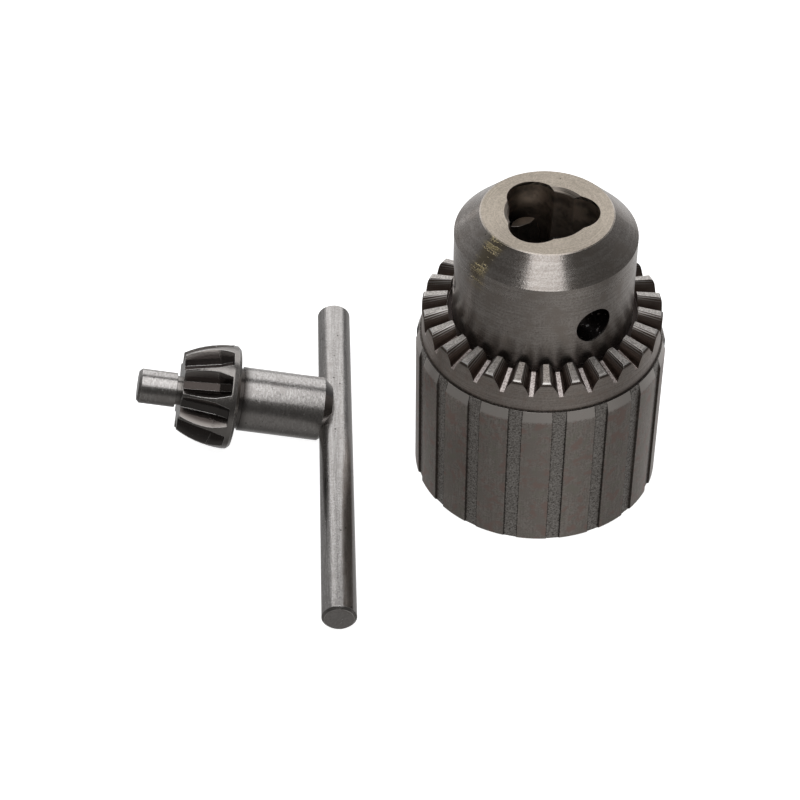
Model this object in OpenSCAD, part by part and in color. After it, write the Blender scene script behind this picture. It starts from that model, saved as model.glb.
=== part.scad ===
// Keyed three-jaw drill chuck with its chuck key lying beside it.
// Origin: centre of the chuck's rear face. +Z runs along the chuck's axis to the nose.

/* [Capacity] */
// Diameter of the largest drill shank the open jaws take
capacity_max = 12.7; // [12.2:0.1:13.2]
// Diameter of the smallest drill shank the closed jaws hold
capacity_min = 1.6; // [1.2:0.1:2.5]

/* [Body] */
// Height of the nose face above the rear face
nose_z = 55.5; // [54:0.5:58]
// Radius of the flat nose face
nose_r = 11.1; // [10.8:0.1:12]
// Radius of the front cylinder, where the key holes are
front_r = 15.33; // [15:0.05:15.6]
// Radius of the rear part, inside the sleeve
tail_r = 19.5; // [19:0.1:19.6]
// Radius of the tool bore
tool_bore_r = 6.45; // [6.4:0.05:6.6]
// Radius of the threaded spindle hole, a 3/8-24 thread's major radius
spindle_r = 4.7625; // [4.5:0.0625:6.35]
// Depth of the threaded spindle hole
spindle_depth = 14; // [12:0.5:15]
// Radius of the passage for a spindle screw
screw_passage_r = 3.2; // [2.5:0.1:3.5]
// Radius of each key hole
key_hole_r = 3.25; // [3.1:0.05:3.5]
// Height of the key holes' axes
key_hole_z = 42.3; // [42:0.1:43]

/* [Jaws] */
// Slope of each jaw's axis to the chuck's axis, in degrees
jaw_angle = 12.5; // [12:0.5:13]
// Radius of each jaw
jaw_r = 4.36; // [4.3:0.02:4.38]
// Radius of the bore each jaw slides in
jaw_bore_r = 4.45; // [4.42:0.01:4.5]
// Distance from the chuck's axis to a jaw bore's axis, in the nose plane
jaw_offset = 4.2; // [4:0.1:4.4]
// Height of the jaws' tips with the chuck fully open
jaw_tip_z = 48.5; // [47:0.5:50]
// Height of the jaws' tails with the chuck fully open
jaw_tail_z = 3; // [2.5:0.5:4]
// Advance of a jaw for one turn of the nut
thread_lead = 3; // [2.5:0.1:3.2]
// Depth of the thread grooves on a jaw's back
thread_depth = 0.9; // [0.7:0.1:1]

/* [Sleeve] */
// Radius over the sleeve's gripping lands
sleeve_r = 21.5; // [21.3:0.1:22]
// Height of the gripping lands
land_top_z = 29.7; // [28:0.1:30]
// Radius of the plain band above the lands
band_r = 20.55; // [20.4:0.05:20.7]
// Number of gripping grooves
groove_count = 18; // [12:1:24]
// Width of each gripping groove
groove_w = 2.3; // [1.8:0.1:2.6]
// Depth of each gripping groove
groove_depth = 0.4; // [0.3:0.05:0.6]
// Radius of the sleeve's main bore
sleeve_bore_r = 19.8; // [19.75:0.05:19.9]
// Radius of the seat that is pressed on the nut
nut_seat_r = 17.6; // [17.4:0.1:18]

/* [Ring gear] */
// Number of teeth on the ring gear
ring_teeth = 26; // [26:1:26]
// Height of the tooth tips at their outer end
tooth_tip_z = 35.75; // [35.5:0.05:36]
// Height of the gap bottoms on the band's surface
gap_root_z = 32.85; // [32.7:0.05:33.5]
// Radius at the inner ends of the teeth
tooth_inner_r = 16.3; // [16.1:0.1:16.6]
// Rise of the tooth tips for each millimetre inwards
tip_slope = 0.19; // [0.15:0.01:0.3]
// Rise of the gap bottoms for each millimetre inwards
root_slope = 0.42; // [0.4:0.01:0.5]

/* [Key] */
// Number of teeth on the key's pinion
pinion_teeth = 10; // [10:1:10]
// Radius of the key's pilot pin
pilot_r = 3.1; // [2.9:0.05:3.15]
// Length of the pilot pin
pilot_length = 7.6; // [7:0.1:8]
// Radius of the key's shank
shank_r = 5.75; // [5.5:0.05:6]
// Distance from the cross bar's axis to the pinion's rear face
pinion_start = 18.55; // [17:0.05:20]
// Length of the pinion
pinion_length = 9.8; // [9.4:0.1:10.2]
// Radius of the cross bar
bar_r = 3; // [2.8:0.1:3.2]
// Length of the cross bar's long side, from the shank's axis
bar_long = 48.7; // [40:0.1:55]
// Length of the cross bar's short side, from the shank's axis
bar_short = 25.3; // [20:0.1:30]

/* [Hidden] */
$fn = 96;
eps = 0.01;

// Body heights
tool_floor_z = 19;
nut_groove_low_z = 24.6;
nut_groove_high_z = 33.2;
nut_groove_r = 12.2;
cone_low_z = nose_z - (front_r - nose_r);
edge_bevel = 0.12;
mouth_bevel = 0.7;
tail_bevel = 0.8;

// Jaws: every jaw moves along its slanted axis, so its grip moves towards the chuck's axis
jaw_azimuths = [0, 120, 240];
open_shift = (capacity_max - capacity_min) / 2;
grip_r = capacity_max / 2;
wedge_gap = 0.12;
tip_cone_r = 2.7;
tip_cone_drop = 3.2;
jaw_half_width = jaw_r / cos(jaw_angle);

// Nut and its seat in the sleeve
nut_low_z = nut_groove_low_z + 0.1;
nut_high_z = nut_groove_high_z - 0.1;
nut_split_azimuth = 30;
nut_split_gap = 0.06;
nut_clearance = 0.25;

// Sleeve outline
lip_bore_r = front_r + 0.1;
lip_top_z = 34.5;
foot_bevel = 0.3;
land_top_r = sleeve_r - 0.6;
land_bevel_z = land_top_z - 2;
tooth_corner_r = 0.75;
tooth_gap_azimuth = -83.58;
groove_azimuth = -84;

// Tooth gap of the ring gear: half-widths at its bottom and its top, at the band and at the inner end
gap_depth_outer = tooth_tip_z - gap_root_z;
gap_depth_inner = gap_depth_outer - (root_slope - tip_slope) * (band_r - tooth_inner_r);
root_half_outer = 0.38;
root_half_inner = 0.36;
tip_half_outer = 1.99;
tip_half_inner = 1.68;
gap_over_r = band_r + 1.5;
gap_under_r = tooth_inner_r - 1.5;
flank_steps = 8;

// Key: x is measured along its shank from the cross bar's axis
shank_tail_x = 1.25;
shank_bevel = 1.65;
undercut_w = 1.1;
undercut_r = 5.45;
flange_w = 1.45;
barrel_r = 9.36;
barrel_front_r = 7.05;
pinion_front_x = pinion_start + pinion_length;
neck_w = 0.8;
neck_r = 2.6;
pilot_bevel = 0.5;
bar_bevel = 0.45;
pinion_root_front_r = 5.3;
pinion_root_slope = 14;
pinion_ramp_slope = 25;
ramp_x = 22;
pinion_root_half = 0.68;
pinion_phase = 3;

// Key at rest beside the chuck: its pinion's rim, its shank's tail and its bar's long end touch the bench
rim_x = pinion_start + 0.5;
rim_r = barrel_r - 0.08;
tail_edge_x = shank_tail_x + shank_bevel;
key_tilt = atan((rim_r - shank_r) / (rim_x - tail_edge_x));
key_height = shank_r * cos(key_tilt) - tail_edge_x * sin(key_tilt) + eps;
key_roll = -asin((key_height - bar_r) / ((bar_long - bar_bevel) * cos(key_tilt)));
key_yaw = 2.4;
key_pos = [-35.96, 6, key_height];

// Points of an arc, from angle a0 to angle a1
function arc(cx, cy, r, a0, a1, steps) =
    [for (i = [0 : steps]) let (a = a0 + (a1 - a0) * i / steps) [cx + r * cos(a), cy + r * sin(a)]];

// Distance from the chuck's axis to an open jaw's axis, and to its back, at height z
function jaw_axis_r(z) = jaw_offset + (nose_z - z) * tan(jaw_angle);
function jaw_back_r(z) = jaw_axis_r(z) + jaw_half_width;

// Places its children on a jaw bore's axis, with the origin in the nose plane
module on_jaw_axis(azimuth) {
    rotate([0, 0, azimuth]) translate([jaw_offset, 0, nose_z]) rotate([0, -jaw_angle, 0]) children();
}

// Places its children in the key's own frame
module in_key_frame() {
    translate(key_pos) rotate([0, 0, 180 + key_yaw]) rotate([0, -key_tilt, 0])
        rotate([key_roll, 0, 0]) children();
}

module body_blank() {
    rotate_extrude() polygon([
        [0, 0],
        [tail_r - tail_bevel, 0],
        [tail_r, tail_bevel],
        [tail_r, nut_groove_low_z],
        [nut_groove_r, nut_groove_low_z],
        [nut_groove_r, nut_groove_high_z],
        [front_r, nut_groove_high_z],
        [front_r, cone_low_z],
        [nose_r + edge_bevel, nose_z - edge_bevel],
        [nose_r - edge_bevel, nose_z],
        [0, nose_z]
    ]);
}

module body() {
    color([0.55, 0.53, 0.51]) difference() {
        body_blank();
        translate([0, 0, -1]) cylinder(r = spindle_r, h = spindle_depth + 1);
        translate([0, 0, spindle_depth - 1])
            cylinder(r = screw_passage_r, h = tool_floor_z - spindle_depth + 2);
        translate([0, 0, tool_floor_z]) cylinder(r = tool_bore_r, h = nose_z - tool_floor_z + 1);
        translate([0, 0, nose_z - mouth_bevel])
            cylinder(r1 = tool_bore_r, r2 = tool_bore_r + 2 * mouth_bevel, h = 2 * mouth_bevel);
        for (a = jaw_azimuths) {
            on_jaw_axis(a) translate([0, 0, -80]) cylinder(r = jaw_bore_r, h = 90);
            rotate([0, 0, a + 60]) translate([0, 0, key_hole_z]) rotate([0, 90, 0])
                cylinder(r = key_hole_r, h = front_r + 5);
        }
    }
}

// Sleeve's cross-section, with the teeth's tips along its top
module sleeve_blank() {
    tip_angle = 90 - atan(tip_slope);
    corner_r = band_r - tooth_corner_r;
    corner_z = tooth_tip_z - tooth_corner_r;
    inner_tip_z = corner_z + tooth_corner_r * sin(tip_angle)
        + (corner_r + tooth_corner_r * cos(tip_angle) - tooth_inner_r) * tip_slope;
    rotate_extrude() polygon(concat(
        [
            [sleeve_bore_r + 0.3, 0],
            [sleeve_r - foot_bevel, 0],
            [sleeve_r, foot_bevel],
            [sleeve_r, land_bevel_z],
            [land_top_r, land_top_z],
            [band_r, land_top_z]
        ],
        arc(corner_r, corner_z, tooth_corner_r, 0, tip_angle, 5),
        [
            [tooth_inner_r, inner_tip_z],
            [tooth_inner_r, lip_top_z],
            [lip_bore_r, lip_top_z],
            [lip_bore_r, nut_groove_high_z],
            [nut_seat_r, nut_groove_high_z],
            [nut_seat_r, nut_low_z],
            [sleeve_bore_r, nut_low_z],
            [sleeve_bore_r, 0.3]
        ]
    ));
}

// One cross-section of a tooth gap: its flanks curve outwards from a flat bottom, and it is open at the top
function gap_half(t, root, tip) = root + (tip - root) * (0.4 * t + 0.6 * pow(t, 2.2));
function gap_section(r, z, depth, root, tip) = concat(
    [[r, -tip - 0.4, z + depth + 2]],
    [for (i = [flank_steps : -1 : 0]) let (t = i / flank_steps) [r, -gap_half(t, root, tip), z + depth * t]],
    [for (i = [0 : flank_steps]) let (t = i / flank_steps) [r, gap_half(t, root, tip), z + depth * t]],
    [[r, tip + 0.4, z + depth + 2]]
);

// Value at radius r on the straight line through the values at the band and at the teeth's inner ends
function along_gap(r, outer, inner) = outer + (inner - outer) * (band_r - r) / (band_r - tooth_inner_r);
function gap_section_at(r) = gap_section(
    r,
    gap_root_z + (band_r - r) * root_slope,
    along_gap(r, gap_depth_outer, gap_depth_inner),
    along_gap(r, root_half_outer, root_half_inner),
    along_gap(r, tip_half_outer, tip_half_inner)
);

module tooth_gap() {
    near = gap_section_at(gap_under_r);
    far = gap_section_at(gap_over_r);
    n = len(near);
    polyhedron(
        points = concat(near, far),
        faces = concat(
            [[for (i = [0 : n - 1]) i]],
            [[for (i = [n - 1 : -1 : 0]) n + i]],
            [for (i = [0 : n - 1]) [i, n + i, n + (i + 1) % n]],
            [for (i = [0 : n - 1]) [i, n + (i + 1) % n, (i + 1) % n]]
        )
    );
}

module sleeve() {
    color([0.44, 0.41, 0.38]) difference() {
        sleeve_blank();
        for (i = [0 : groove_count - 1])
            rotate([0, 0, groove_azimuth + 360 / groove_count * i])
                translate([sleeve_r - groove_depth, -groove_w / 2, -1]) cube([5, groove_w, land_top_z + 2]);
        for (i = [0 : ring_teeth - 1])
            rotate([0, 0, tooth_gap_azimuth + 360 / ring_teeth * i]) tooth_gap();
    }
}

// The whole nut, before it is split in two
module nut_ring() {
    rotate_extrude() polygon([
        [jaw_back_r(nut_low_z) + nut_clearance, nut_low_z],
        [nut_seat_r, nut_low_z],
        [nut_seat_r, nut_high_z],
        [jaw_back_r(nut_high_z) + nut_clearance, nut_high_z]
    ]);
}

module nut_half(side) {
    color([0.5, 0.47, 0.42]) intersection() {
        nut_ring();
        rotate([0, 0, nut_split_azimuth + side * 180])
            translate([-30, nut_split_gap / 2, 0]) cube([60, 30, 60]);
    }
}

module nut_half_a() { nut_half(0); }
module nut_half_b() { nut_half(1); }

// Groove of the jaw's thread that meets the jaw's back at height z
module jaw_thread_groove(z) {
    back = jaw_back_r(z);
    ring_r = 14.5;
    translate([back - ring_r, 0, z]) rotate_extrude() polygon([
        [ring_r - thread_depth, -0.35],
        [ring_r + 3, -0.35 - (thread_depth + 3) * 0.35],
        [ring_r + 3, 0.35 + (thread_depth + 3) * 0.35],
        [ring_r - thread_depth, 0.35]
    ]);
}

// A jaw at azimuth 0: a slanted round bar with a wedge-shaped grip and part of the nut's thread on its back
module jaw_blank(phase) {
    wedge_r = open_shift + wedge_gap;
    wedge_far = 30;
    pitch = thread_lead * cos(jaw_angle);
    difference() {
        intersection() {
            on_jaw_axis(0) translate([0, 0, -80]) cylinder(r = jaw_r, h = 90);
            translate([0, 0, jaw_tail_z]) linear_extrude(jaw_tip_z - jaw_tail_z) polygon([
                [grip_r, -(grip_r - wedge_r) * tan(60)],
                [wedge_far, -(wedge_far - wedge_r) * tan(60)],
                [wedge_far, (wedge_far - wedge_r) * tan(60)],
                [grip_r, (grip_r - wedge_r) * tan(60)]
            ]);
            cylinder(r = tail_r - 0.05, h = 60);
            translate([open_shift, 0, 0]) rotate_extrude() polygon([
                [0, jaw_tail_z - 1],
                [30, jaw_tail_z - 1],
                [30, jaw_tip_z - tip_cone_drop - (30 - jaw_r) * tan(60)],
                [jaw_r, jaw_tip_z - tip_cone_drop],
                [tip_cone_r, jaw_tip_z],
                [0, jaw_tip_z]
            ]);
        }
        for (i = [0 : 9]) jaw_thread_groove(6 + pitch * (i + phase / 3));
    }
}

module jaw(index) {
    color([0.5, 0.48, 0.46]) rotate([0, 0, jaw_azimuths[index]]) jaw_blank(index);
}

module jaw_1() { jaw(0); }
module jaw_2() { jaw(1); }
module jaw_3() { jaw(2); }

// Turned outline of the key, from the shank's tail to the pilot's tip
module key_blank() {
    barrel_steps = 7;
    barrel_x0 = pinion_start + flange_w - 0.2;
    barrel = [for (i = [0 : barrel_steps]) let (t = i / barrel_steps)
        [barrel_r - (barrel_r - barrel_front_r) * pow(t, 2.2), barrel_x0 + (pinion_front_x - barrel_x0) * t]];
    pilot_tip_x = pinion_front_x + pilot_length;
    rotate([0, 90, 0]) rotate_extrude() polygon(concat(
        [
            [0, shank_tail_x],
            [shank_r - shank_bevel * 0.8, shank_tail_x],
            [shank_r, shank_tail_x + shank_bevel],
            [shank_r, pinion_start - undercut_w],
            [undercut_r, pinion_start - undercut_w],
            [undercut_r, pinion_start],
            [rim_r - 0.42, pinion_start],
            [rim_r, rim_x]
        ],
        barrel,
        [
            [neck_r, pinion_front_x],
            [neck_r, pinion_front_x + neck_w],
            [pilot_r, pinion_front_x + neck_w],
            [pilot_r, pilot_tip_x - pilot_bevel],
            [pilot_r - pilot_bevel, pilot_tip_x],
            [0, pilot_tip_x]
        ]
    ));
}

// Half-width of a pinion gap at height h above its bottom
function pinion_flank(h) = pinion_root_half + 0.72 * h + 0.07 * h * h;
gap_heights = [0, 0.9, 1.8, 2.7, 4.5];

// Tooth gap of the pinion: a slanted groove that ramps up steeply before the flange
module pinion_gap() {
    flank = [for (h = gap_heights) [pinion_flank(h), h]];
    mirrored = [for (i = [len(flank) - 1 : -1 : 0]) [-flank[i][0], flank[i][1]]];
    ramp_r = pinion_root_front_r + (pinion_front_x - ramp_x) * tan(pinion_root_slope);
    intersection() {
        translate([ramp_x, 0, ramp_r]) union() {
            rotate([0, pinion_root_slope, 0]) rotate([90, 0, 90])
                linear_extrude(12) polygon(concat(flank, mirrored));
            rotate([0, pinion_ramp_slope, 0]) rotate([90, 0, 90])
                translate([0, 0, -5]) linear_extrude(5) polygon(concat(flank, mirrored));
        }
        translate([pinion_start + flange_w, -10, 0]) cube([20, 20, 20]);
    }
}

module key_shank() {
    color([0.62, 0.6, 0.58]) in_key_frame() difference() {
        key_blank();
        for (i = [0 : pinion_teeth - 1]) rotate([360 / pinion_teeth * i + pinion_phase, 0, 0]) pinion_gap();
        rotate([90, 0, 0]) cylinder(r = bar_r, h = 30, center = true);
    }
}

module key_handle() {
    color([0.66, 0.64, 0.62]) in_key_frame() rotate([-90, 0, 0]) rotate_extrude() polygon([
        [0, -bar_short],
        [bar_r - bar_bevel, -bar_short],
        [bar_r, -bar_short + bar_bevel],
        [bar_r, bar_long - bar_bevel],
        [bar_r - bar_bevel, bar_long],
        [0, bar_long]
    ]);
}

body();
sleeve();
nut_half_a();
nut_half_b();
jaw_1();
jaw_2();
jaw_3();
key_shank();
key_handle();
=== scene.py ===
"""Looks of the keyed drill chuck and its key: steel finishes, a cut thread, studio light and the camera."""

import math

import bmesh
import bpy
from mathutils import Euler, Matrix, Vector


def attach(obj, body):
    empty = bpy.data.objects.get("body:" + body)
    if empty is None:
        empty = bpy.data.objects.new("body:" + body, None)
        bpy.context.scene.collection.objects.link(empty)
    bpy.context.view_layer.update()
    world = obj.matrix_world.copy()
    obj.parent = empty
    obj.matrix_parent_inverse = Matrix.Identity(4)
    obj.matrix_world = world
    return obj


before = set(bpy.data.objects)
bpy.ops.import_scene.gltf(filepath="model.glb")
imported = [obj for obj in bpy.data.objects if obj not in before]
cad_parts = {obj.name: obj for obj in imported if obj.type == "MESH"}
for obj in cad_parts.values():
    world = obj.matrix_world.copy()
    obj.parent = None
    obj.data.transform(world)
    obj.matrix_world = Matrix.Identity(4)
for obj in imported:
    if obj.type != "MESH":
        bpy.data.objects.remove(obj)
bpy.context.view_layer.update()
MM = 0.001

# Heights and radii of the CAD, in millimetres
FRONT_R = 15.33
CONE_LOW_Z = 51.27
NOSE_Z = 55.5
MOUTH_BEVEL = 0.7
KEY_HOLE_START_R = 9.5
GEAR_LOW_Z = 33.0
BAND_R = 20.55
TOOTH_INNER_R = 16.3
TOOTH_TIP_Z = 35.75
LAND_TOP_Z = 29.7
LAND_BEVEL_Z = 27.7
GROOVE_AZIMUTH = -84
GROOVE_COUNT = 18
GROOVE_HALF_W = 1.15
SPINDLE_MAJOR_R = 4.7625
SPINDLE_DEPTH = 14.0
SPINDLE_PITCH = 25.4 / 24

# The key's own frame, as the CAD lays it on the bench (place in metres, turns in degrees); its x runs along
# the shank from the cross bar
KEY_PLACE = (-0.03596, 0.006, 0.0050081)
KEY_TILT = 12.3296
KEY_ROLL = -2.4416
KEY_YAW = 2.4
SHANK_R = 5.75
TAIL_BEVEL_X = 2.9
PINION_START = 18.55
FLANGE_W = 1.45
PINION_END = 28.35
BARREL_START = 19.8
BARREL_R = 9.36
BARREL_DROP = 2.31

# Azimuth of the oil stain that runs down the cone, in degrees
STAIN_AZIMUTH = -140

# Floor, backdrop and camera, in metres and degrees
FLOOR_RADIUS = 3.0
FLOOR_DROP = 0.00002
DOME_RADIUS = 4.0
CAMERA_PLACE = (-0.02426, -0.30336, 0.2945)
CAMERA_PITCH = 47.168
CAMERA_LENS = 105.24
SENSOR_WIDTH = 36

# Outputs of the Texture Coordinate node, and the second output of other nodes, their normal or value
GENERATED = 0
FACING = 1
OBJECT = 3
SECOND = 1


class Finish:
    """A material's or the world's node tree. Each method adds nodes and returns what the next one reads."""

    def __init__(self, owner):
        self.owner = owner
        owner.use_nodes = True
        self.tree = owner.node_tree
        self.tree.nodes.clear()

    def add(self, kind, inputs=None, output=0, **settings):
        node = self.tree.nodes.new("ShaderNode" + kind)
        for key, value in settings.items():
            setattr(node, key, value)
        for key, value in (inputs or {}).items():
            if isinstance(value, bpy.types.NodeSocket):
                self.tree.links.new(value, node.inputs[key])
            else:
                node.inputs[key].default_value = value
        return node.outputs[output] if node.outputs else None

    def math(self, operation, a, b=0.0):
        return self.add("Math", {0: a, 1: b}, operation=operation)

    def times(self, *values):
        product = values[0]
        for value in values[1:]:
            product = self.math("MULTIPLY", product, value)
        return product

    def step(self, value, low, high):
        """0 below low and 1 above high, or the other way round when low is above high."""
        inputs = {"Value": value, "From Min": low, "From Max": high}
        return self.add("MapRange", inputs, interpolation_type="SMOOTHSTEP")

    def span(self, value, out_low, out_high):
        """A 0 to 1 value brought to the range out_low to out_high."""
        return self.add("MapRange", {"Value": value, "To Min": out_low, "To Max": out_high})

    def blend(self, factor, a, b):
        """Number a where factor is 0, b where it is 1."""
        return self.add("Mix", {0: factor, 2: a, 3: b}, data_type="FLOAT")

    def tint(self, factor, a, b):
        """Colour a where factor is 0, b where it is 1."""
        return self.add("Mix", {0: factor, 6: a, 7: b}, output=2, data_type="RGBA")

    def join(self, x, y, z):
        return self.add("CombineXYZ", {0: x, 1: y, 2: z})

    def split(self, vector):
        node = self.tree.nodes.new("ShaderNodeSeparateXYZ")
        self.tree.links.new(vector, node.inputs[0])
        return node.outputs

    def noise(self, vector, scale, detail=2.0, roughness=0.55):
        inputs = {"Vector": vector, "Scale": scale, "Detail": detail, "Roughness": roughness}
        return self.add("TexNoise", inputs)

    def spots(self, vector, scale, size):
        """1 in the middle of scattered round spots, 0 elsewhere."""
        distance = self.add("TexVoronoi", {"Vector": vector, "Scale": scale, "Randomness": 1.0})
        return self.step(distance, size, size * 0.45)

    def place_mm(self):
        """The point in millimetres in the frame, which moves with the piece."""
        point = self.add("TexCoord", output=OBJECT)
        return self.add("VectorMath", {0: point, "Scale": 1000.0}, operation="SCALE")

    def facing(self):
        """The surface's own direction in the piece's frame."""
        return self.add("TexCoord", output=FACING)

    def around_axis(self, point):
        """The point's x, y and z, and its radius from the z axis."""
        x, y, z = self.split(point)
        radius = self.math("SQRT", self.math("ADD", self.times(x, x), self.times(y, y)))
        return x, y, z, radius

    def turned(self, x, y, z, radius, fineness, stretch):
        """Noise drawn out into rings round the z axis."""
        ring_x = self.times(self.math("DIVIDE", x, radius), stretch)
        ring_y = self.times(self.math("DIVIDE", y, radius), stretch)
        along = self.times(self.math("ADD", z, self.times(radius, 1.7)), fineness)
        return self.noise(self.join(ring_x, ring_y, along), 1.0, 3.0, 0.6)

    def soft_normal(self, radius):
        return self.add("Bevel", {"Radius": radius}, samples=4)

    def edge_wear(self, soft, threshold=0.06):
        """1 along sharp outer edges, where handling polishes the steel."""
        true = self.add("NewGeometry", output=SECOND)
        match = self.add("VectorMath", {0: soft, 1: true}, output=SECOND, operation="DOT_PRODUCT")
        edge = self.step(self.math("SUBTRACT", 1.0, match), 0.01, threshold)
        return self.times(edge, self.open_air(0.0006, 0.55, 0.9))

    def open_air(self, distance, low, high):
        """0 deep in corners, 1 on open surfaces."""
        inputs = {"Distance": distance}
        shade = self.add("AmbientOcclusion", inputs, output=SECOND, samples=6, only_local=True)
        return self.step(shade, low, high)

    def relief(self, height, depth_mm, normal):
        """The surface's direction over bumps of the given height, at half strength."""
        inputs = {"Height": height, "Distance": depth_mm * MM, "Strength": 0.5, "Normal": normal}
        return self.add("Bump", inputs)

    def steel(self, colour, roughness, normal, tangent=None, anisotropic=0.0):
        inputs = {"Base Color": colour, "Metallic": 1.0, "Roughness": roughness, "Normal": normal}
        if tangent is not None:
            inputs["Tangent"] = tangent
            inputs["Anisotropic"] = anisotropic
            inputs["Anisotropic Rotation"] = ACROSS_LINES
        shader = self.add("BsdfPrincipled", inputs)
        self.add("OutputMaterial", {"Surface": shader})
        return self.owner


def rgb(red, green, blue):
    return (red, green, blue, 1.0)


def grey(value):
    return rgb(value, value, value)


BRIGHT_STEEL = rgb(0.95, 0.92, 0.89)
# Turn that lays the stretched highlight across the lathe's lines, in whole turns
ACROSS_LINES = 0.25


def body_finish():
    """Turned steel body: satin skin, beige faced nose, bores with painted shade (near black deep in, light
    brown at the mouth) and oily patches.
    """
    f = Finish(bpy.data.materials.new("body_turned_steel"))
    point = f.place_mm()
    x, y, z, radius = f.around_axis(point)
    facing_z = f.split(f.facing())[2]
    fine = f.turned(x, y, z, radius, fineness=4.0, stretch=2.0)
    coarse = f.turned(x, y, z, radius, fineness=1.3, stretch=1.0)
    cloud = f.noise(point, 0.35, 3.0)
    grain = f.noise(point, 3.2, 2.0, 0.7)
    specks = f.times(f.spots(point, 0.6, 0.1), f.step(cloud, 0.5, 0.6))

    # how deep a point lies under the outer skin, a cylinder and then a cone; the rear face counts as deep too
    cone_drop = f.math("MAXIMUM", f.math("SUBTRACT", z, CONE_LOW_Z), 0.0)
    depth = f.math("SUBTRACT", f.math("SUBTRACT", FRONT_R, cone_drop), radius)
    nose = f.times(f.step(z, NOSE_Z - 0.2, NOSE_Z - 0.05), f.step(facing_z, 0.85, 0.95))
    inside = f.times(f.step(depth, 0.15, 0.4), f.math("SUBTRACT", 1.0, nose))
    lip = f.step(z, NOSE_Z - MOUTH_BEVEL - 0.05, NOSE_Z - MOUTH_BEVEL + 0.05)
    key_hole = f.times(f.step(radius, KEY_HOLE_START_R, KEY_HOLE_START_R + 1.5), f.step(z, 50.0, 48.0))

    mottle = f.step(f.blend(0.55, fine, grain), 0.36, 0.64)
    skin = f.tint(mottle, rgb(0.46, 0.415, 0.385), rgb(0.69, 0.645, 0.61))
    skin = f.tint(f.step(cloud, 0.45, 0.75), skin, rgb(0.50, 0.445, 0.405))
    off_stain = f.math("SUBTRACT", f.math("ARCTAN2", y, x), math.radians(STAIN_AZIMUTH))
    off_stain = f.math("ABSOLUTE", f.times(off_stain, radius))
    stain = f.times(
        f.step(f.math("SUBTRACT", off_stain, f.times(f.math("SUBTRACT", cloud, 0.5), 3.0)), 2.6, 0.7),
        f.step(z, 46.5, 51.5),
    )
    skin = f.tint(f.times(stain, 0.65), skin, rgb(0.40, 0.33, 0.20))
    flecks = f.times(stain, f.step(f.math("ADD", f.times(grain, 0.5), fine), 0.77, 0.87))
    skin = f.tint(flecks, skin, rgb(1.0, 0.84, 0.50))
    face = f.tint(mottle, rgb(0.48, 0.42, 0.345), rgb(0.70, 0.62, 0.53))
    # painted shade: the bore goes from near black deep inside to light brown at the mouth; the cloud patches
    # darken it further at random
    bore_tone_and_painted_shade = f.tint(f.step(z, 40.0, 53.0), rgb(0.13, 0.11, 0.095), rgb(0.78, 0.66, 0.56))
    bore_tone_and_painted_shade = f.tint(f.times(f.step(cloud, 0.4, 0.65), 0.6), bore_tone_and_painted_shade, rgb(0.16, 0.13, 0.11))
    lip_tone = f.tint(f.step(coarse, 0.35, 0.6), rgb(0.16, 0.14, 0.12), rgb(0.62, 0.55, 0.48))
    bore_tone_and_painted_shade = f.tint(lip, bore_tone_and_painted_shade, lip_tone)
    # painted shade and painted glints in the key holes: near black with scattered bright specks
    painted_glints = f.step(f.noise(point, 1.1, 2.0), 0.62, 0.7)
    bore_tone_and_painted_shade = f.tint(key_hole, bore_tone_and_painted_shade, f.tint(painted_glints, rgb(0.045, 0.04, 0.04), rgb(0.6, 0.6, 0.6)))
    colour = f.tint(nose, skin, face)
    colour = f.tint(inside, colour, bore_tone_and_painted_shade)
    soft = f.soft_normal(0.06 * MM)
    wear = f.times(f.edge_wear(soft), f.math("SUBTRACT", 1.0, key_hole))
    colour = f.tint(f.times(wear, 0.4), colour, rgb(0.80, 0.77, 0.73))
    colour = f.tint(specks, colour, rgb(0.12, 0.10, 0.09))

    roughness = f.span(f.blend(0.5, coarse, grain), 0.13, 0.3)
    on_cylinder = f.step(z, CONE_LOW_Z, CONE_LOW_Z - 4.0)
    roughness = f.math("ADD", roughness, f.times(on_cylinder, 0.09))
    roughness = f.blend(nose, roughness, 0.42)
    roughness = f.blend(inside, roughness, 0.42)
    height = f.math("ADD", f.times(fine, 0.5), f.times(grain, 0.8))
    height = f.math("ADD", height, f.times(flecks, 2.5))
    normal = f.relief(height, 0.025, soft)
    tangent = f.add("Tangent", direction_type="RADIAL", axis="Z")
    return f.steel(colour, roughness, normal, tangent, 0.55)


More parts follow.
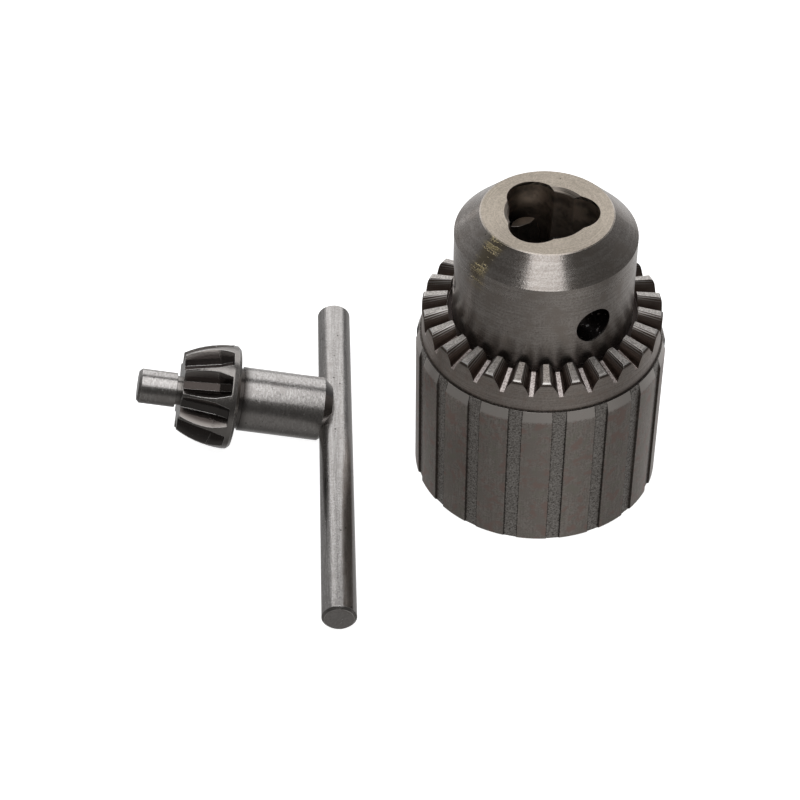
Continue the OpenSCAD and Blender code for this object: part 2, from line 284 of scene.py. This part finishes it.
def sleeve_finish():
    """Sleeve: satin lands, cast grooves with dark seams, turned band, tooth tops worn bright and painted
    lighter where they face up, flanks and the teeth's inner ends in painted shade.
    """
    f = Finish(bpy.data.materials.new("sleeve_steel"))
    point = f.place_mm()
    x, y, z, radius = f.around_axis(point)
    facing_z = f.split(f.facing())[2]
    fine = f.turned(x, y, z, radius, fineness=4.0, stretch=2.0)
    cloud = f.noise(point, 0.3, 3.0)
    warm = f.noise(point, 0.55, 2.0)
    grain = f.noise(point, 3.2, 2.0, 0.7)
    streaks = f.noise(f.join(f.times(x, 3.5), f.times(y, 3.5), f.times(z, 0.3)), 1.0, 3.0)

    # sideways distance from the nearest groove's centre line
    azimuth = f.math("ARCTAN2", y, x)
    step_angle = 2 * math.pi / GROOVE_COUNT
    shifted = f.math("SUBTRACT", azimuth, math.radians(GROOVE_AZIMUTH) - step_angle / 2)
    in_step = f.math("SUBTRACT", f.math("FLOORED_MODULO", shifted, step_angle), step_angle / 2)
    sideways = f.math("ABSOLUTE", f.times(f.math("SINE", in_step), radius))
    below_band = f.step(z, LAND_TOP_Z + 0.05, LAND_TOP_Z - 0.05)
    outside = f.step(radius, 20.3, 20.5)
    groove = f.times(f.step(sideways, GROOVE_HALF_W + 0.02, GROOVE_HALF_W - 0.06), below_band, outside)
    ragged = f.times(f.math("SUBTRACT", grain, 0.5), 0.5)

    # dark lines in the corners: along both sides of each groove, and where the lands end under the band
    off_edge = f.math("ABSOLUTE", f.math("SUBTRACT", sideways, GROOVE_HALF_W))
    seam = f.times(f.step(f.math("ADD", off_edge, f.times(ragged, 0.6)), 0.13, 0.03), below_band, outside)
    over_land = f.math("SUBTRACT", z, LAND_TOP_Z)
    off_ledge = f.math("MAXIMUM", over_land, f.math("SUBTRACT", radius, BAND_R + 0.05))
    ledge = f.times(f.step(z, LAND_TOP_Z - 0.05, LAND_TOP_Z), f.step(facing_z, 0.6, 0.9))
    corner = f.step(f.math("ADD", off_ledge, ragged), 0.22, 0.02)
    corner = f.times(corner, f.step(z, LAND_TOP_Z - 0.1, LAND_TOP_Z))
    seam = f.math("MAXIMUM", seam, f.times(corner, outside))

    gear = f.times(f.step(z, GEAR_LOW_Z - 0.4, GEAR_LOW_Z), f.step(radius, BAND_R, BAND_R - 0.06))
    flat = f.step(facing_z, 0.9, 0.96)
    up = f.step(facing_z, 0.6, 0.85)
    tip_zone = f.step(z, TOOTH_TIP_Z - 0.75, TOOTH_TIP_Z - 0.6)
    lip = f.times(f.step(radius, TOOTH_INNER_R, TOOTH_INNER_R - 0.06), gear)

    mottle = f.step(f.blend(0.6, streaks, grain), 0.36, 0.64)
    land = f.tint(mottle, rgb(0.43, 0.39, 0.36), rgb(0.64, 0.59, 0.555))
    land = f.tint(f.step(cloud, 0.45, 0.75), land, rgb(0.50, 0.455, 0.42))
    land = f.tint(f.times(f.step(warm, 0.5, 0.68), 0.85), land, rgb(0.54, 0.405, 0.365))
    land = f.tint(f.times(f.step(warm, 0.46, 0.3), 0.6), land, rgb(0.48, 0.47, 0.40))
    bevelled = f.step(f.math("ADD", z, ragged), LAND_BEVEL_Z - 0.2, LAND_BEVEL_Z + 0.35)
    land = f.tint(f.times(bevelled, 0.85), land, rgb(0.97, 0.92, 0.88))
    cast = f.tint(f.step(grain, 0.3, 0.7), rgb(0.34, 0.315, 0.295), rgb(0.74, 0.71, 0.68))
    pits = f.spots(point, 1.7, 0.26)
    cast = f.tint(pits, cast, rgb(0.14, 0.125, 0.115))
    colour = f.tint(groove, land, cast)
    ledge_tone = f.tint(f.step(grain, 0.4, 0.65), rgb(0.06, 0.05, 0.047), rgb(0.27, 0.25, 0.235))
    colour = f.tint(f.times(ledge, outside), colour, ledge_tone)
    band_mottle = f.step(f.blend(0.5, fine, grain), 0.36, 0.64)
    band = f.tint(band_mottle, rgb(0.46, 0.41, 0.375), rgb(0.66, 0.60, 0.56))
    band = f.tint(f.times(f.step(warm, 0.45, 0.7), 0.5), band, rgb(0.52, 0.43, 0.38))
    colour = f.tint(f.step(z, LAND_TOP_Z + 0.02, LAND_TOP_Z + 0.1), colour, band)
    # painted shade and painted light on the teeth: faces that do not point up take the dark flank colour,
    # faces that point up take a bright one, which is partly worn steel
    flank_painted_shade = f.tint(cloud, rgb(0.12, 0.095, 0.083), rgb(0.25, 0.20, 0.175))
    tip = f.tint(f.step(grain, 0.35, 0.65), rgb(0.38, 0.355, 0.335), rgb(0.70, 0.665, 0.635))
    root = f.tint(f.step(grain, 0.35, 0.6), rgb(0.34, 0.30, 0.285), rgb(0.76, 0.69, 0.67))
    top_wear_and_painted_light = f.tint(tip_zone, root, f.tint(flat, BRIGHT_STEEL, tip))
    colour = f.tint(gear, colour, f.tint(up, flank_painted_shade, top_wear_and_painted_light))
    # painted shade: the teeth's inner ends, in the recess beside the body, are painted near black
    colour = f.tint(lip, colour, rgb(0.05, 0.04, 0.037))
    soft = f.soft_normal(0.08 * MM)
    wear = f.edge_wear(soft)
    colour = f.tint(f.times(wear, f.span(gear, 0.35, 0.9)), colour, BRIGHT_STEEL)
    colour = f.tint(f.times(seam, 0.85), colour, rgb(0.13, 0.115, 0.105))

    roughness = f.span(streaks, 0.32, 0.48)
    roughness = f.blend(groove, roughness, 0.52)
    roughness = f.blend(gear, roughness, f.span(grain, 0.25, 0.5))
    land_height = f.times(f.math("ADD", f.times(streaks, 0.5), f.times(grain, 0.5)), 0.6)
    cast_height = f.math("SUBTRACT", f.times(grain, 1.8), f.times(pits, 1.5))
    height = f.blend(groove, land_height, cast_height)
    height = f.math("SUBTRACT", height, f.times(seam, 1.5))
    normal = f.relief(height, 0.03, soft)
    tangent = f.add("Tangent", direction_type="RADIAL", axis="Z")
    return f.steel(colour, roughness, normal, tangent, 0.3)


def key_turn():
    """The key's turn in the frame, as one rotation: roll about its shank, then tilt, then yaw."""
    turn = Euler((0, 0, math.radians(180 + KEY_YAW))).to_matrix()
    turn = turn @ Euler((0, math.radians(-KEY_TILT), 0)).to_matrix()
    turn = turn @ Euler((math.radians(KEY_ROLL), 0, 0)).to_matrix()
    return tuple(turn.to_euler("XYZ"))


def key_finish(name, along_bar):
    """Key steel: bright drawn surfaces with pits and scratches; gaps between the pinion's teeth darkened by
    oil and by painted shade deeper in; painted shade on one side, behind the flange and on the tail's bevel.
    """
    f = Finish(bpy.data.materials.new(name))
    local = f.add("Mapping", {
        "Vector": f.add("TexCoord", output=OBJECT),
        "Location": KEY_PLACE,
        "Rotation": key_turn(),
    }, vector_type="TEXTURE")
    point = f.add("VectorMath", {0: local, "Scale": 1000.0}, operation="SCALE")
    x, y, z = f.split(point)
    facing_x, facing_y, facing_z = f.split(f.facing())
    if along_bar:
        drawn = f.join(f.times(x, 3.5), f.times(y, 0.2), f.times(z, 3.5))
    else:
        drawn = f.join(f.times(x, 3.0), f.times(y, 1.1), f.times(z, 1.1))
    lines = f.noise(drawn, 1.0, 3.0)
    cloud = f.noise(point, 0.4, 3.0)
    grain = f.noise(point, 3.2, 2.0, 0.7)
    pits = f.times(f.spots(point, 0.8, 0.17), f.step(cloud, 0.5, 0.58))

    mottle = f.step(f.blend(0.5, lines, grain), 0.34, 0.66)
    colour = f.tint(mottle, rgb(0.48, 0.457, 0.443), rgb(0.76, 0.735, 0.72))
    colour = f.tint(f.step(cloud, 0.5, 0.75), colour, rgb(0.54, 0.512, 0.495))
    if along_bar:
        # painted shade on the bar: its faces towards -y are picked here and darkened below, and its faces
        # towards +x are darkened at once
        painted_shade_side = f.step(facing_y, -0.5, -0.8)
        colour = f.tint(f.times(f.step(facing_x, 0.55, 0.95), 0.75), colour, rgb(0.20, 0.185, 0.175))
    else:
        # painted shade on the shank's lower side, which faces the bench
        painted_shade_side = f.step(facing_z, 0.68, 0.45)
        radius = f.math("SQRT", f.math("ADD", f.times(y, y), f.times(z, z)))
        pinion = f.step(x, PINION_START - 0.1, PINION_START + 0.1)
        pinion = f.times(pinion, f.step(x, PINION_END + 0.9, PINION_END + 0.7))
        colour = f.tint(f.times(pinion, 0.75), colour, rgb(0.32, 0.30, 0.285))
        along = f.math("DIVIDE", f.math("SUBTRACT", x, BARREL_START), PINION_END - BARREL_START)
        drop = f.times(f.math("POWER", f.math("MAXIMUM", along, 0.0), 2.2), BARREL_DROP)
        sunk = f.math("SUBTRACT", f.math("SUBTRACT", BARREL_R, drop), radius)
        gap_start = PINION_START + FLANGE_W
        in_gaps = f.times(f.step(x, gap_start - 0.05, gap_start), f.step(x, PINION_END, PINION_END - 0.05))
        # the gaps between the pinion's teeth darken with their depth, partly oil and soot and partly painted
        # shade
        colour = f.tint(f.times(f.step(sunk, 0.05, 0.2), in_gaps), colour, rgb(0.30, 0.275, 0.26))
        colour = f.tint(f.times(f.step(sunk, 0.2, 1.1), in_gaps), colour, rgb(0.085, 0.072, 0.067))
        # painted shadow that the flange casts on the shank beside it
        painted_flange_shadow = f.step(x, PINION_START - 3.2, PINION_START - 1.0)
        painted_flange_shadow = f.times(painted_flange_shadow, f.step(x, PINION_START + 0.1, PINION_START))
        colour = f.tint(f.times(painted_flange_shadow, painted_flange_shadow), colour, rgb(0.09, 0.08, 0.075))
        # painted shade on the tail's bevel ring, for the dark that it reflects
        painted_tail_bevel_shade = f.step(x, TAIL_BEVEL_X + 0.1, TAIL_BEVEL_X - 0.1)
        painted_tail_bevel_shade = f.times(painted_tail_bevel_shade, f.step(radius, SHANK_R + 0.1, SHANK_R))
        colour = f.tint(f.times(painted_tail_bevel_shade, 0.85), colour, rgb(0.12, 0.11, 0.105))
    # painted shade: the side picked above is drawn darker
    colour = f.tint(f.times(painted_shade_side, 0.55), colour, rgb(0.24, 0.23, 0.225))
    colour = f.tint(pits, colour, rgb(0.10, 0.09, 0.085))
    soft = f.soft_normal(0.15 * MM)
    wear = f.edge_wear(soft)
    colour = f.tint(f.times(wear, 0.9), colour, rgb(0.96, 0.94, 0.92))

    roughness = f.span(f.blend(0.5, grain, lines), 0.14, 0.34)
    height = f.math("SUBTRACT", f.math("ADD", f.times(lines, 0.4), f.times(grain, 0.8)), f.times(pits, 1.5))
    normal = f.relief(height, 0.028, soft)
    return f.steel(colour, roughness, normal)


def hidden_finish(name, dark, bright):
    """Ground steel with a film of oil, for the jaws, the nut and the cut thread."""
    f = Finish(bpy.data.materials.new(name))
    point = f.place_mm()
    x, y, z, radius = f.around_axis(point)
    fine = f.turned(x, y, z, radius, fineness=6.0, stretch=1.5)
    cloud = f.noise(point, 0.5, 3.0)
    grain = f.noise(point, 6.0, 2.0, 0.7)
    colour = f.tint(fine, dark, bright)
    colour = f.tint(f.step(cloud, 0.45, 0.7), colour, dark)
    soft = f.soft_normal(0.1 * MM)
    colour = f.tint(f.times(f.edge_wear(soft), 0.6), colour, rgb(0.78, 0.75, 0.72))
    roughness = f.span(grain, 0.24, 0.42)
    normal = f.relief(f.math("ADD", fine, grain), 0.005, soft)
    return f.steel(colour, roughness, normal)


def give(node, material):
    """Puts the finish in the node's material slots."""
    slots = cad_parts[node].data.materials
    slots.clear()
    slots.append(material)


give("body", body_finish())
give("sleeve", sleeve_finish())
nut_steel = hidden_finish("nut_ground_steel", rgb(0.34, 0.31, 0.28), rgb(0.55, 0.51, 0.47))
give("nut_half_a", nut_steel)
give("nut_half_b", nut_steel)
jaw_steel = hidden_finish("jaw_ground_steel", rgb(0.36, 0.33, 0.30), rgb(0.58, 0.54, 0.50))
for index in (1, 2, 3):
    give(f"jaw_{index}", jaw_steel)
give("key_shank", key_finish("key_steel", False))
give("key_handle", key_finish("bar_drawn_steel", True))


def cut_thread():
    """The spindle hole's thread: one helical ridge whose root lies on the hole's wall."""
    steps = 48
    start_z = 0.9
    left_plain = 2.6
    turns = (SPINDLE_DEPTH - left_plain) / SPINDLE_PITCH
    # the ridge's section: how far each corner lies outside the wall, in mm, and how far up, in pitches
    crest = -0.54 * SPINDLE_PITCH
    buried = 0.02
    section = [(buried, -0.45), (buried, 0.45), (crest, 0.07), (crest, -0.07)]
    mesh = bmesh.new()
    rings = []
    total = int(turns * steps)
    half_turn = steps * 0.5
    for i in range(total + 1):
        angle = 2 * math.pi * i / steps
        rise = start_z + SPINDLE_PITCH * i / steps
        fade = min(1.0, i / half_turn, (total - i) / half_turn)
        ring = []
        for outset, up in section:
            r = SPINDLE_MAJOR_R + (outset * fade if outset < 0 else outset)
            z = rise + up * SPINDLE_PITCH
            ring.append(mesh.verts.new((r * math.cos(angle) * MM, r * math.sin(angle) * MM, z * MM)))
        rings.append(ring)
    for low, high in zip(rings, rings[1:]):
        for k in range(len(section)):
            after = (k + 1) % len(section)
            mesh.faces.new((low[k], low[after], high[after], high[k]))
    mesh.faces.new(rings[0])
    mesh.faces.new(rings[-1])
    bmesh.ops.recalc_face_normals(mesh, faces=mesh.faces)
    data = bpy.data.meshes.new("spindle_thread")
    mesh.to_mesh(data)
    mesh.free()
    thread = bpy.data.objects.new("spindle_thread", data)
    bpy.context.scene.collection.objects.link(thread)
    data.materials.append(nut_steel)
    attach(thread, "chuck_body")


cut_thread()


def flat_disc(name, radius, z):
    mesh = bmesh.new()
    bmesh.ops.create_circle(mesh, cap_ends=True, segments=96, radius=radius)
    data = bpy.data.meshes.new(name)
    mesh.to_mesh(data)
    mesh.free()
    disc = bpy.data.objects.new(name, data)
    disc.location = (0, 0, z)
    bpy.context.scene.collection.objects.link(disc)
    return disc


def paper(name, colour, glow):
    """Matt white paper that is partly lit through."""
    f = Finish(bpy.data.materials.new(name))
    dimmer = rgb(*(0.98 * c for c in colour[:3]))
    tone = f.tint(f.noise(f.add("TexCoord", output=OBJECT), 6.0), colour, dimmer)
    inputs = {"Base Color": tone, "Roughness": 0.9, "Specular IOR Level": 0.0}
    inputs.update({"Emission Color": tone, "Emission Strength": glow})
    f.add("OutputMaterial", {"Surface": f.add("BsdfPrincipled", inputs)})
    return f.owner


floor = flat_disc("floor", FLOOR_RADIUS, -FLOOR_DROP)
floor.data.materials.append(paper("floor_paper", grey(0.85), 1.1))
floor.visible_glossy = False


def sky_dome():
    """A pale backdrop all round, seen by the camera alone."""
    mesh = bmesh.new()
    bmesh.ops.create_uvsphere(mesh, u_segments=48, v_segments=24, radius=DOME_RADIUS)
    data = bpy.data.meshes.new("backdrop")
    mesh.to_mesh(data)
    mesh.free()
    dome = bpy.data.objects.new("backdrop", data)
    bpy.context.scene.collection.objects.link(dome)
    data.materials.append(paper("backdrop_paper", grey(0.9), 1.0))
    dome.visible_glossy = False
    dome.visible_diffuse = False
    dome.visible_shadow = False


sky_dome()


def surroundings():
    """Dim room seen in the steel: a soft gradient, brighter behind the chuck than in front of it."""
    world = bpy.data.worlds.new("room")
    bpy.context.scene.world = world
    room = Finish(world)
    x, y, z = room.split(room.add("TexCoord", output=GENERATED))
    low = room.step(z, 0.05, -0.25)
    behind = room.step(y, -0.2, 0.8)
    ahead = room.step(y, -0.2, -0.75)
    to_right = room.step(x, -0.6, 0.45)
    far_left = room.step(x, 0.0, -0.6)
    bench_behind = room.tint(far_left, grey(0.58), grey(0.22))
    bench_behind = room.tint(room.step(x, 0.25, 0.7), bench_behind, grey(0.42))
    bench = room.tint(behind, rgb(0.14, 0.137, 0.133), bench_behind)
    bench = room.tint(ahead, bench, room.tint(to_right, rgb(0.18, 0.176, 0.172), rgb(0.28, 0.274, 0.266)))
    walls_behind = room.tint(far_left, grey(0.16), grey(0.26))
    walls = room.tint(behind, rgb(0.085, 0.083, 0.08), walls_behind)
    colour = room.tint(low, walls, bench)
    shader = room.add("Background", {"Color": colour, "Strength": 1.0})
    room.add("OutputWorld", {"Surface": shader})


surroundings()


def softbox(name, width, height, brightness):
    """A soft panel that faces straight down. Brightness is what it shows in a mirror."""
    light = bpy.data.lights.new(name, "AREA")
    light.shape = "RECTANGLE"
    light.size = width
    light.size_y = height
    light.energy = brightness * math.pi * width * height
    lamp = bpy.data.objects.new(name, light)
    lamp.visible_camera = False
    bpy.context.scene.collection.objects.link(lamp)
    return lamp


def aim_at_object(lamp, azimuth, elevation, distance):
    """Sets the lamp at that direction and distance from the chuck's middle, facing it."""
    middle = Vector((0, 0, 0.03))
    a, e = math.radians(azimuth), math.radians(elevation)
    away = Vector((math.cos(e) * math.cos(a), math.cos(e) * math.sin(a), math.sin(e)))
    lamp.location = middle + away * distance
    lamp.rotation_euler = away.to_track_quat("Z", "Y").to_euler()


back = softbox("back_softbox", width=1.36, height=0.85, brightness=0.74)
aim_at_object(back, azimuth=91, elevation=26, distance=0.9)
fill = softbox("floor_fill", width=1.6, height=1.6, brightness=0.35)
aim_at_object(fill, azimuth=0, elevation=89, distance=1.2)
fill.visible_glossy = False
ceiling = softbox("ceiling_softbox", width=0.6, height=1.03, brightness=1.13)
ceiling.location = (-0.02, -0.245, 0.8)

camera_data = bpy.data.cameras.new("camera")
camera_data.lens = CAMERA_LENS
camera_data.sensor_width = SENSOR_WIDTH
camera = bpy.data.objects.new("camera", camera_data)
camera.location = CAMERA_PLACE
camera.rotation_euler = (math.radians(CAMERA_PITCH), 0, 0)
bpy.context.scene.collection.objects.link(camera)
bpy.context.scene.camera = camera
bpy.context.scene.view_settings.view_transform = "Standard"
